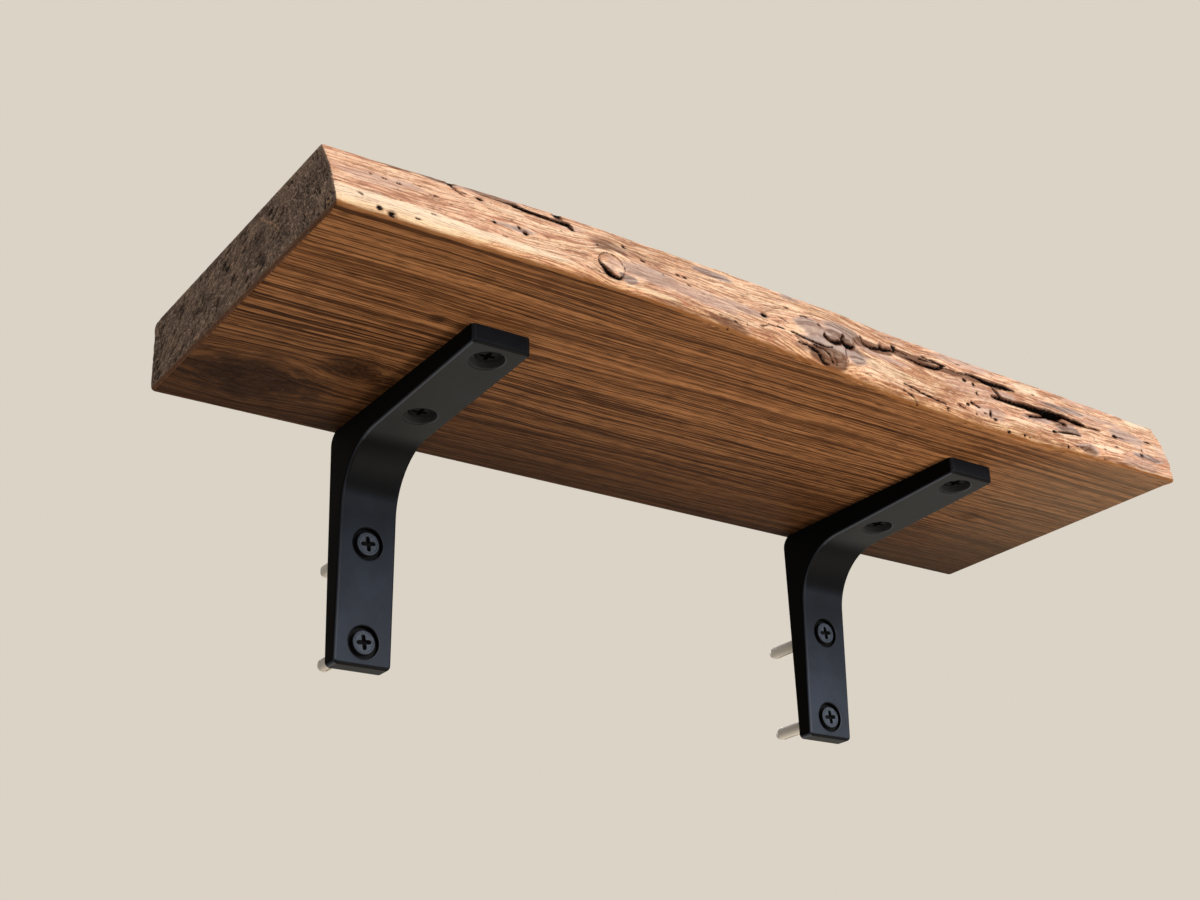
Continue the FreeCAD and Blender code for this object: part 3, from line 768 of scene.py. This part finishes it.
def patches(x, h, kind):
    shiftX = x + 5 * grainNoise(x, h, 14, 5, 21.0)
    shiftH = h + 1.4 * grainNoise(x, h, 12, 5, 33.0)
    total = 0.0
    for px, ph, long, high, strength in stains[kind]:
        away = ((shiftX - px) / long) ** 2 + ((shiftH - ph) / high) ** 2
        if away < 3:
            total = max(total, strength * (1 - easedStep(math.sqrt(away), 0.7, 1.45)))
    return total


def grainShift(x, h):  # moves grain lines so that they run round the knots
    shift = 0.0
    for px, ph, long, high, strength in eyes:
        away = ((x - px) / (1.6 * long)) ** 2 + ((h - ph) / (1.6 * high)) ** 2
        if away < 6:
            shift -= strength * (h - ph) * math.exp(-away)
    return shift


def boxEdges(bm, direction, chosen):  # edges along one axis whose two ends both pass a test
    picked = []
    for edge in bm.edges:
        run = edge.verts[1].co - edge.verts[0].co
        if abs(run.normalized()[direction]) > 0.999 and all(chosen(v.co) for v in edge.verts):
            picked.append(edge)
    return picked


def longest(edges, least):
    return [edge for edge in edges if edge.calc_length() > least]


def roundOver(bm, edges, radius, clamp):
    bmesh.ops.bevel(bm, geom=edges, offset=radius, offset_type="OFFSET", segments=4, profile=0.5,
                    affect="EDGES", material=-1, clamp_overlap=clamp)


def boardBlank(bm):
    bmesh.ops.create_cube(bm, size=1.0)
    bmesh.ops.scale(bm, vec=(2 * halfLength, board["depth"], board["thickness"]), verts=bm.verts)
    middle = (boardMiddle, -board["depth"] / 2, board["underside"] + board["thickness"] / 2)
    bmesh.ops.translate(bm, vec=middle, verts=bm.verts)
    roundOver(bm, boxEdges(bm, 0, lambda co: co.y > -1), board["backRound"], False)
    sharp = [edge for edge in bm.edges if edge.calc_face_angle() > board["sharpAngle"]]
    roundOver(bm, sharp, board["arris"], True)
    sides = [face for face in bm.faces if face.calc_area() > board["bigFace"]]
    bmesh.ops.inset_individual(bm, faces=sides, thickness=board["inset"], use_even_offset=True)


def boardGrid(bm):  # columns along the board, rows up its natural edge, and fine squares on both ends
    inset = board["inset"]
    places = [board["left"] + board["arris"] + inset] + [stop for stop, _ in board["bands"]]
    for stop, _ in board["bands"][:-1]:
        geometry = bm.verts[:] + bm.edges[:] + bm.faces[:]
        bmesh.ops.bisect_plane(bm, geom=geometry, plane_co=(stop, 0, 0), plane_no=(1, 0, 0))
    for start, (stop, step) in zip(places, board["bands"]):
        band = boxEdges(bm, 0, lambda co: start - 1.5 * inset < co.x < stop + hair)
        band = longest(band, 3 * inset)
        if band:
            count = round(max(edge.calc_length() for edge in band) / step)
            bmesh.ops.subdivide_edges(bm, edges=band, cuts=max(count - 1, 1))

    def atEnds(co):
        return abs(co.x - boardMiddle) > halfLength - board["endBand"] - hair

    def atFront(co):
        return co.y < -board["depth"] + board["backRound"] or atEnds(co)

    runs = [
        (1, atEnds, board["endColumns"]),
        (1, lambda co: not atEnds(co), board["flatColumns"]),
        (2, atFront, board["rows"]),
    ]
    for direction, chosen, cuts in runs:
        edges = longest(boxEdges(bm, direction, chosen), board["longRun"])
        bmesh.ops.subdivide_edges(bm, edges=edges, cuts=cuts)


def shapeBoard(bm):
    lines = {}
    layers = {name: bm.verts.layers.float.new(name) for name in ("crack", *stains, "shift", "cut", "chip")}
    depth, arris, worn = board["depth"], board["arris"], board["wear"]
    for v in bm.verts:
        x, y, z = v.co
        h = z - board["underside"]
        key = round(x, 2)
        if key not in lines:
            lines[key] = (depthAt(board["bottomLine"], x), depthAt(board["topLine"], x))
        newY = y * edgeDepth(*lines[key], x, h) / depth
        facing = easedStep(-y, depth - arris, depth - 0.2)
        if facing > 0:
            shift = grainShift(x, h)
            waves, ridges = layered(x, h, "waves"), layered(x, h + shift, "ridges")
            deep, dark, soft = carving(x, h)
            newY += facing * (deep + board["setBack"] + waves + ridges - swelling(x, h))
            v[layers["crack"]] = dark * facing
            for kind in stains:
                v[layers[kind]] = patches(x, h, kind)
            v[layers["brown"]] = max(v[layers["brown"]], soft)
            v[layers["shift"]] = shift
        wear = 0.0
        if facing < 1 and y < arris - depth and abs(x - boardMiddle) < halfLength - 3:
            wear = max(worn["least"] + worn["uneven"] * grainNoise(x, h, *worn["noise"]), 0.0)
        v.co.y = max(newY, -board["deepest"]) + wear * worn["back"]
        v.co.z += wear * worn["inward"] * (1 if h < board["thickness"] / 2 else -1)
    sharpenCorners(bm)
    roughenEnds(bm, layers)


def sharpenCorners(bm):  # the sawn ends meet the natural edge and the top at crisp corners
    arris = board["arris"]
    for v in bm.verts:
        behind, below = behindFront(v.co), boardTop - v.co.z
        crisp = board["crisp"] * (1 - easedStep(min(behind, below), *board["crispReach"]))
        for end in (board["left"], board["right"]):
            if abs(v.co.x - end) < arris:
                v.co.x = end + (v.co.x - end) * (1 - crisp)
        if below < arris and v.co.y < -2 * board["backRound"]:
            v.co.z = boardTop - below * board["topRound"]


def chipAt(t, h):  # pale torn fibres on a sawn end, t measured from the wall
    pale = 0.0
    for ct, ch, long, high in board["chips"]:
        pale = max(pale, 0.8 * (1 - easedStep(math.hypot((t - ct) / long, (h - ch) / high), 0.5, 1.2)))
    away = nearest(board["split"], t, h)
    return max(pale, 0.5 * (1 - easedStep(away, 0.6, 1.6)))


def strokes(along, across, seed):  # ragged saw and chisel marks, long one way
    marks = grainNoise(along, across, *board["longStroke"], seed)
    marks += 0.5 * grainNoise(along, across, *board["shortStroke"], seed + 5)
    return easedStep(marks, -0.05, 0.5)


def turned(t, h, angle):
    c, s = math.cos(math.radians(angle)), math.sin(math.radians(angle))
    return t * c + h * s, h * c - t * s


def endCut(t, h, seed):  # t is the distance from the wall
    bendT = t + 5 * grainNoise(t, h, 16, 12, seed)
    bendH = h + 3 * grainNoise(t, h, 12, 10, seed + 9)
    marks = 0.0
    for i, (angle, stretch, start, stop) in enumerate(board["zones"], 1):
        share = easedStep(t, *start) * (1 - easedStep(t, *stop))
        marks += strokes(*turned(bendT * stretch, bendH, angle), seed + i) * share
    patchy = 0.45 + 0.55 * easedStep(grainNoise(t, h, 15, 9, seed + 4), -0.35, 0.2)
    return min(marks * patchy, 1.0)


def roughenEnds(bm, layers):
    for v in bm.verts:
        x, y, z = v.co
        h = z - board["underside"]
        out = easedStep(abs(x - boardMiddle), halfLength - board["arris"], halfLength - 0.3)
        if out > 0:
            side = -1 if x < boardMiddle else 1
            inner = min(h, board["thickness"] - h, -y, behindFront(v.co) - 1)
            fade = 0.15 + 0.85 * easedStep(inner, 0.5, 4.0)
            cut = endCut(-y, h, side * 20.0)
            hill = 0.25 + 0.5 * grainNoise(y, h, *board["hollow"], side)
            v[layers["cut"]] = cut * fade * out
            v[layers["chip"]] = chipAt(-y, h) * out
            deep = board["cutDepth"] * cut + board["hollowDepth"] * max(hill, 0.0)
            v.co.x -= side * out * fade * deep


def sortFaces(bm):  # material 0 planed, 1 natural edge, 2 end grain
    for face in bm.faces:
        face.smooth = True
        centre = face.calc_center_median()
        if abs(centre.x - boardMiddle) > halfLength - board["arris"] * 0.55:
            face.material_index = 2
        elif centre.y < -board["depth"] + board["arris"] * 0.6:
            face.material_index = 1


def makeBoard():
    bm = bmesh.new()
    boardBlank(bm)
    boardGrid(bm)
    sortFaces(bm)
    shapeBoard(bm)
    bmesh.ops.scale(bm, vec=(mm, mm, mm), verts=bm.verts)
    bmesh.ops.recalc_face_normals(bm, faces=bm.faces)
    mesh = bpy.data.meshes.new("liveEdgeBoard")
    bm.to_mesh(mesh)
    print("board:", len(bm.verts), "points,", sum(len(f.verts) - 2 for f in bm.faces), "triangles")
    bm.free()
    piece = bpy.data.objects.new("liveEdgeBoard", mesh)
    bpy.context.collection.objects.link(piece)
    return piece


# Wood finishes

planed = {
    "light": rgb(188, 131, 85),
    "middle": rgb(145, 96, 59),
    "dark": rgb(90, 56, 32),
    # dark grain lines; the same colour paints the shade towards the wall and beside the brackets
    "line": rgb(34, 16, 6),
    "grey": rgb(136, 114, 92),
    "knot": rgb(38, 20, 9),
    "gloss": 0.05,
    # knots as x, y, half length, half width and strength
    "knots": [
        (-256, -46, 40, 26, 0.9), (-211, -80, 20, 13, 1.0), (-203, -151, 6, 4, 0.5), (232, -92, 12, 7, 0.5),
    ],
    # shade in the corners beside the brackets, the same way
    "shades": [(-192, -40, 46, 46, 0.55), (134, -36, 46, 42, 0.75), (205, -30, 30, 34, 0.4)],
    # noises: size in millimetres along each axis, detail and roughness
    "longBend": ((150, 40, 40), 2.0),
    "shortBend": ((34, 12, 12), 2.0),
    "curl": ((12, 8, 9), 3.0, 0.6),
    "loops": ((3.2, 1, 1), 3.0),
    "broad": ((320, 13, 30), 3.0),
    "streak": ((230, 2.8, 9), 4.0, 0.6),
    "rings": ((240, 8.0, 16), 2.0),
    "thin": ((105, 1.3, 5), 3.0, 0.6),
    "pores": ((14, 0.4, 2), 1.0),
    "patch": ((80, 24, 30), 2.0),
}
natural = {
    "tan": rgb(231, 179, 144),
    "light": rgb(250, 209, 171),
    "rose": rgb(198, 143, 115),
    "pale": rgb(251, 225, 195),
    "grey": rgb(170, 153, 147),
    "ash": rgb(202, 171, 156),
    "brown": rgb(98, 64, 46),
    "line": rgb(122, 78, 56),
    "halo": rgb(78, 46, 31),
    "crack": rgb(15, 8, 6),
    "foot": rgb(130, 78, 26),
    "golden": rgb(250, 232, 196),
    "dull": rgb(214, 202, 186),
    "darkGrey": rgb(112, 94, 87),
    "gloss": 0.18,
    "longWobble": ((46, 60, 12), 2.0),
    "shortWobble": ((14, 20, 5), 2.0),
    "broad": ((90, 60, 5.0), 2.0),
    "band": ((48, 30, 1.5), 4.0, 0.65),
    "thin": ((14, 9, 0.8), 1.0),
    "breakUp": ((15, 10, 2.2), 4.0, 0.65),
    "mottle": ((3.6, 4, 1.2), 3.0, 0.65),
    "fleck": ((2.6, 3, 0.8), 3.0, 0.6),
    "rag": ((1.3, 2, 0.9), 2.0),
}
endGrain = {
    "base": rgb(142, 118, 102),
    "dark": rgb(104, 86, 76),
    "light": rgb(204, 174, 148),
    "cut": rgb(26, 16, 12),
    "foot": rgb(112, 72, 46),
    "chip": rgb(206, 160, 124),
    "gloss": 0.15,
    "torn": ((4, 1.5, 1.4), 4.0, 0.65),
    "backNicks": ((3, 4.5, 0.8), 4.0, 0.65),
    "frontNicks": ((3, 4.0, 0.8), 4.0, 0.65),
    "wrinkle": ((3, 3.2, 1.4), 5.0, 0.75),
    "cloud": ((30, 20, 13), 3.0),
}


def contour(value, level, wide):  # thin line where a noise crosses a level
    return 1.0 - rise(abs(value - level), wide * 0.3, wide)


def planedWood():
    material, shader, at = newMaterial("planedWood")
    x, y, z = parted(at)
    out = y * -1.0  # distance from the wall
    bent = y + (speckle(at, *planed["longBend"]) - 0.5) * 8.0
    bent = bent + (speckle(at, *planed["shortBend"]) - 0.5) * 1.8
    curl = speckle(at, *planed["curl"]) - 0.5
    knots, circles = [], []
    for kx, ky, long, wide, strength in planed["knots"]:
        offX, offY = (x - kx) / long, (y - ky) / wide
        away = offX * offX + offY * offY
        near = fading(away)
        bent = bent - (y - ky) * near * strength
        far = (away + curl * 0.5).math("POWER", 0.5) * wide
        loops = speckle(joined(far, 0.0, ky), *planed["loops"])
        circles.append(contour(loops, 0.5, 0.09) * rise(near, 0.25, 0.7))
        knots.append(near * strength)
    knotty = largest(*knots)
    ragged = rise(knotty + curl * 1.1, 0.1, 0.75)
    bent = bent + curl * knotty * 16.0
    shades = []
    for sx, sy, long, wide, strength in planed["shades"]:
        offX, offY = (x - sx) / long, (y - sy) / wide
        shades.append(fading(offX * offX + offY * offY) * strength)
    grain = joined(x, bent, z)
    broad, streak, thin, pores = speckles(grain, planed, "broad", "streak", "thin", "pores")
    rings = (speckle(grain, *planed["rings"]) * 14.0 + streak * 1.6).math("FRACT")
    patch = speckle(at, *planed["patch"])
    late = rise(rings, 0.5, 0.85) * (1.0 - rise(rings, 0.92, 1.0))
    lines = late * (rise(patch + thin * 0.5, 0.45, 0.9) * 0.5 + 0.45)
    calm = rise(out, 130.0, 190.0) * 0.45
    close = rise(out, 40.0, 80.0) * (1.0 - rise(out, 120.0, 160.0))
    weathered = rise(x + (patch - 0.5) * 120.0, 150.0, 290.0) * 0.5
    # painted shade, darker towards the wall
    paintedWallShade = rise(y, -170.0, 10.0) * 0.84
    tone = broad * 0.12 + streak * 0.88
    base = ramp(tone, [(0.37, planed["dark"]), (0.5, planed["middle"]), (0.63, planed["light"])])
    colour = painted(base, planed, [
        (lines * (0.85 - calm), "line"),
        (rise(streak, 0.36, 0.48) * -0.4 + 0.4, "line"),
        (rise(thin, 0.5, 0.62) * 0.85, "dark"),
        (contour(streak, 0.46, 0.02) * (close * 0.45 + 0.3), "line"),
        (rise(thin, 0.52, 0.6) * close * 0.5, "line"),
        (rise(1.0 - thin, 0.5, 0.6) * (close * 0.15 + 0.6), "light"),
        (rise(pores, 0.56, 0.64) * 0.7, "line"),
        (weathered, "grey"),
        (ragged * 0.8, "knot"),
        (largest(*circles) * 0.5, "line"),
        # painted shade towards the wall and beside the brackets, in the grain lines' colour
        (largest(paintedWallShade, *shades), "line"),
    ])
    roughness = 0.52 + lines * 0.15 + pores * 0.12
    height = streak * 1.1 - 0.4 * lines - rise(pores, 0.58, 0.68) * 0.25
    height = height + thin * 0.35 + curl * ragged * 1.5
    finishShader(shader, colour, roughness, height, 0.8, planed["gloss"])
    return material


def naturalWood():
    material, shader, at = newMaterial("naturalWood")
    x, y, z = parted(at)
    up = z - board["underside"]
    wobble = (speckle(at, *natural["longWobble"]) - 0.5) * 6.0
    wobble = wobble + (speckle(at, *natural["shortWobble"]) - 0.5) * 1.5
    run = joined(x, y * 0.2, up + attribute(at, "shift") + wobble)
    broad, band, thin = speckles(run, natural, "broad", "band", "thin")
    breakUp = (speckle(run, *natural["breakUp"]) - 0.5) * 1.1
    mottle, fleck, rag = speckles(at, natural, "mottle", "fleck", "rag")
    pale = rise(attribute(at, "pale") + breakUp * 0.5, 0.2, 0.6)
    dull = attribute(at, "dull") + breakUp * 0.3
    weather = attribute(at, "grey") + breakUp * 0.5
    grey = rise(weather, 0.1, 0.75)
    greys = blend(rise(band, 0.42, 0.57), natural["darkGrey"], natural["grey"])
    greys = blend(rise(weather, 0.5, 1.0), natural["ash"], greys)
    brown = rise(attribute(at, "brown") + breakUp * 0.9, 0.15, 0.95)
    bare = 1.0 - largest(brown, grey) * 0.75
    worn = 1.0 - largest(pale, grey) * 0.55
    fibre = contour(band, 0.5, 0.024) * rise(broad + breakUp * 0.3, 0.4, 0.58)
    golden = rise(10.0 - up + breakUp * 5.0, 0.0, 8.0) * (1.0 - rise(x, 225.0, 265.0))
    foot = rise(3.4 - up + breakUp * 1.4, 0.0, 2.4)
    crack = attribute(at, "crack") * (rag * 2.4 - 0.2)
    tone = broad * 0.35 + band * 0.65
    base = ramp(tone, [(0.4, natural["rose"]), (0.5, natural["tan"]), (0.6, natural["light"])])
    plain = painted(base, natural, [
        (pale * 0.95, "pale"),
        (rise(dull, 0.0, 1.0) * 0.9, "dull", "MULTIPLY"),
    ])
    colour = painted(blend(grey * 0.92, plain, greys), natural, [
        (brown * 0.95, "brown"),
        (fibre * 0.65, "line"),
        (rise(thin, 0.5, 0.64) * 0.6 * worn, "line"),
        (rise(1.0 - thin, 0.52, 0.66) * 0.55 * bare, "pale"),
        (rise(mottle, 0.54, 0.66) * 0.34 * worn, "line"),
        (rise(1.0 - mottle, 0.54, 0.66) * 0.32 * bare, "pale"),
        (rise(fleck, 0.6, 0.66) * 0.6 * worn, "brown"),
        (golden * 0.7, "golden", "MULTIPLY"),
        (foot * 0.92, "foot"),
        (rise(crack, 0.1, 0.6) * 0.75, "halo"),
        (rise(crack, 0.5, 0.78), "crack"),
    ])
    roughness = 0.48 + thin * 0.2 + grey * 0.12 + rise(crack, 0.1, 0.6) * 0.4
    height = band * 1.3 + thin * 0.45 + fleck * 0.25
    finishShader(shader, colour, roughness, height, 0.7, natural["gloss"])
    return material


def endGrainWood():
    material, shader, at = newMaterial("endGrainWood")
    x, y, z = parted(at)
    up = z - board["underside"]
    cut = attribute(at, "cut")
    torn, cloud = speckles(at, endGrain, "torn", "cloud")
    back = joined(x * 0.3, y * -0.8 + up * 0.6, up * 0.8 + y * 0.6)
    front = joined(x * 0.3, y * -0.5 + up * -0.87, up * 0.5 + y * -0.87)
    ahead = rise(y * -1.0 + (torn - 0.5) * 60.0, 128.0, 158.0)
    backNicks = speckle(back, *endGrain["backNicks"])
    frontNicks = speckle(front, *endGrain["frontNicks"])
    nicks = backNicks * (1.0 - ahead) + frontNicks * ahead
    wrinkle = speckle(joined(x * 0.3, y, up), *endGrain["wrinkle"])
    foot = rise(3.4 - up + (torn - 0.5) * 3.0, 0.0, 2.0)
    base = blend(rise(cloud, 0.38, 0.62), endGrain["dark"], endGrain["base"])
    colour = painted(base, endGrain, [
        (rise(nicks, 0.54, 0.64) * 0.45, "light"),
        (rise(1.0 - nicks, 0.54, 0.6) * 0.6, "cut"),
        (rise(wrinkle, 0.55, 0.62) * 0.55, "light"),
        (contour(wrinkle, 0.47, 0.03) * 0.75, "cut"),
        (rise(torn, 0.6, 0.68) * 0.4, "light"),
        (rise(cut + (torn - 0.5) * 0.9, 0.3, 0.8) * 0.85, "cut"),
        (foot * 0.75, "foot"),
        (attribute(at, "chip"), "chip"),
    ])
    roughness = 0.7 + torn * 0.2
    height = nicks * 1.2 + wrinkle * 0.8 + torn * 0.6 - cut * 0.4
    finishShader(shader, colour, roughness, height, 0.8, endGrain["gloss"])
    return material


slab = makeBoard()
for material in (planedWood(), naturalWood(), endGrainWood()):
    slab.data.materials.append(material)
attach(slab, "root")
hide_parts("live_edge_slab")
print("board finished")

bpy.context.view_layer.update()
